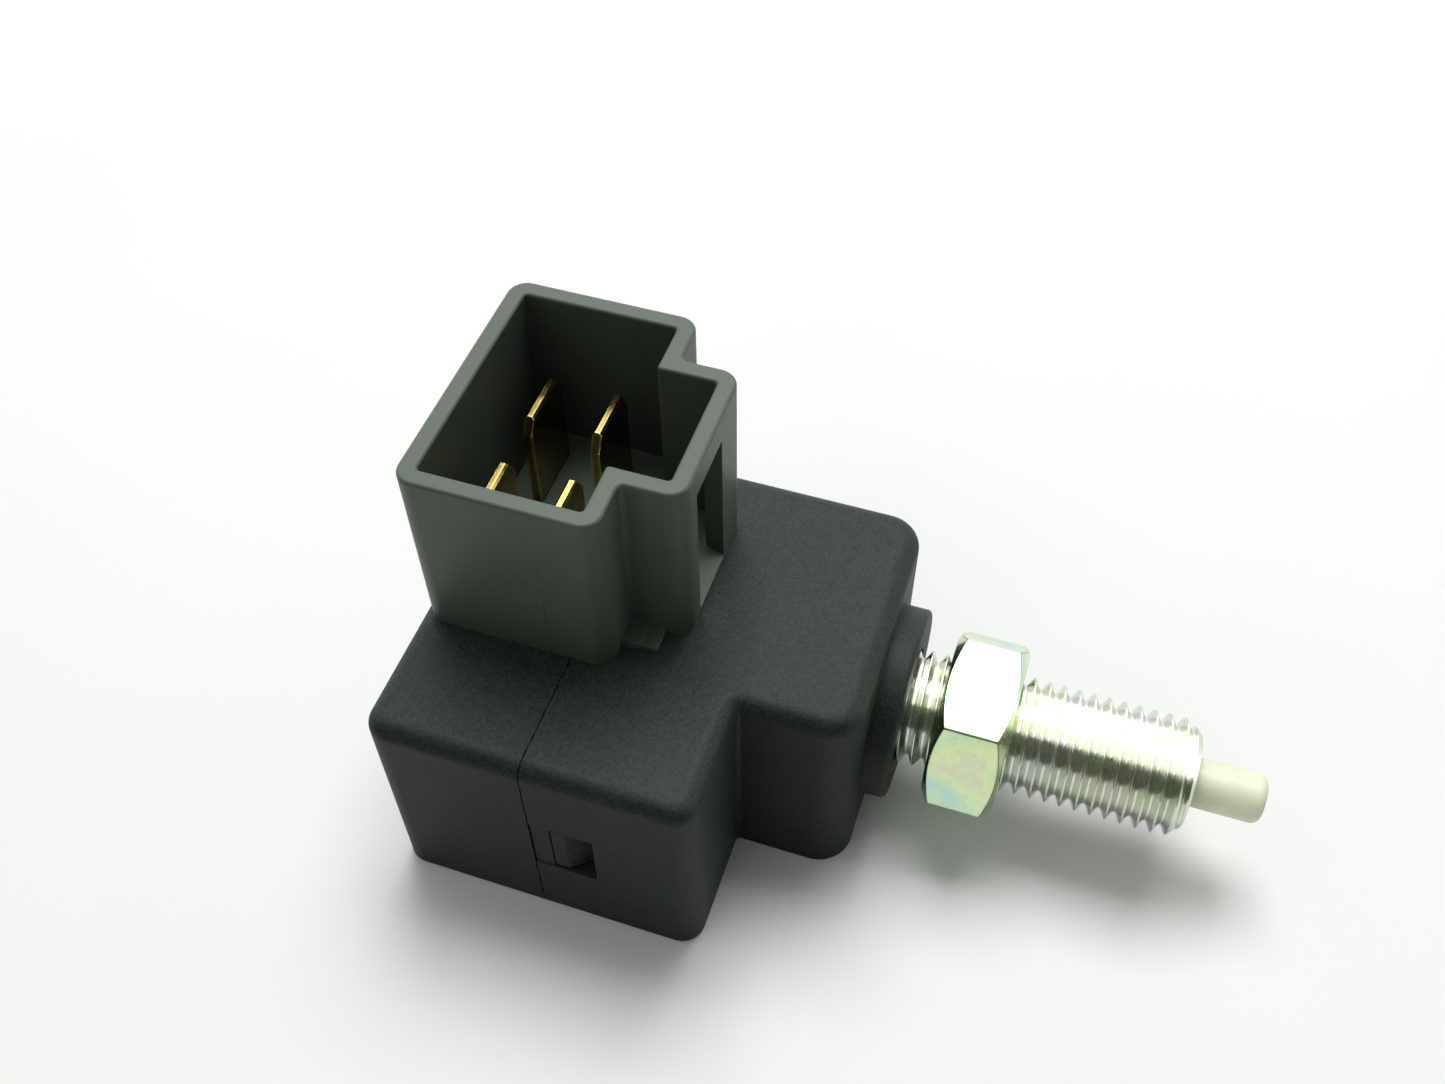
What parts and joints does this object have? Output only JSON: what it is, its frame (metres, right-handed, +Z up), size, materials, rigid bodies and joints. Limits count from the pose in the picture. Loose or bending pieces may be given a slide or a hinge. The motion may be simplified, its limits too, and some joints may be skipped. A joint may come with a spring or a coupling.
{
  "type": "brake light switch",
  "caption": "Plunger type brake light switch with a threaded sleeve and lock nut, an L shaped black housing and a keyed grey blade connector tower.",
  "frame": {"origin": "on the sleeve's axis, in the outer face of the seating collar", "axes": "+X along the sleeve towards the plunger's tip, +Z up through the connector tower, -Y towards the deep side of the block"},
  "size_m": [0.0683, 0.0337, 0.0384],
  "materials": {
    "black_housing": "glass filled nylon, matt moulded grain",
    "grey_connector": "moulded polyester, slight sheen",
    "zinc_steel": "bright zinc plate with a clear iridescent passivate",
    "natural_nylon": "uncoloured nylon, slightly translucent",
    "carrier_nylon": "uncoloured heat stabilised nylon",
    "terminal_brass": "stamped brass strip, bare",
    "bridge_copper": "stamped copper alloy",
    "contact_silver": "silver alloy rivet",
    "spring_steel": "drawn stainless spring wire and strip"
  },
  "bodies": {
    "housing": {"front_housing": "black_housing", "rear_cover": "black_housing", "connector_shroud": "grey_connector", "threaded_sleeve": "zinc_steel", "return_spring": "spring_steel", "stop_terminal_front": "terminal_brass", "stop_terminal_back": "terminal_brass", "cruise_terminal_front": "terminal_brass", "cruise_terminal_back": "terminal_brass", "stop_fixed_contact_front": "contact_silver", "stop_fixed_contact_back": "contact_silver", "cruise_fixed_contact_front": "contact_silver", "cruise_fixed_contact_back": "contact_silver"},
    "plunger_group": {"plunger": "natural_nylon", "contact_carrier": "carrier_nylon", "retaining_clip": "spring_steel", "stop_bridge_spring": "spring_steel", "cruise_bridge_spring": "spring_steel"},
    "stop_bridge_group": {"stop_bridge": "bridge_copper", "stop_moving_contact_front": "contact_silver", "stop_moving_contact_back": "contact_silver"},
    "cruise_bridge_group": {"cruise_bridge": "bridge_copper", "cruise_moving_contact_front": "contact_silver", "cruise_moving_contact_back": "contact_silver"},
    "lock_nut_group": {"lock_nut": "zinc_steel"}
  },
  "joints": [
    {"name": "plunger_slide", "type": "slide", "parent": "housing", "child": "plunger_group", "axis": [-1, 0, 0], "range_m": [0, 0.005], "stiffness_N_per_m": 800, "springref_m": -0.0045, "deforming": ["return_spring", "stop_bridge_spring", "cruise_bridge_spring"]},
    {"name": "stop_bridge_slide", "type": "slide", "parent": "housing", "child": "stop_bridge_group", "axis": [-1, 0, 0], "range_m": [0, 0.004]},
    {"name": "cruise_bridge_slide", "type": "slide", "parent": "housing", "child": "cruise_bridge_group", "axis": [-1, 0, 0], "range_m": [0, 0.004]},
    {"name": "lock_nut_slide", "type": "slide", "parent": "housing", "child": "lock_nut_group", "axis": [1, 0, 0], "range_m": [-0.0025, 0.0125]}
  ],
  "couplings": [
    {"joint": "stop_bridge_slide", "follows": "plunger_slide", "ratio": 0.8},
    {"joint": "cruise_bridge_slide", "follows": "plunger_slide", "ratio": 0.8}
  ]
}
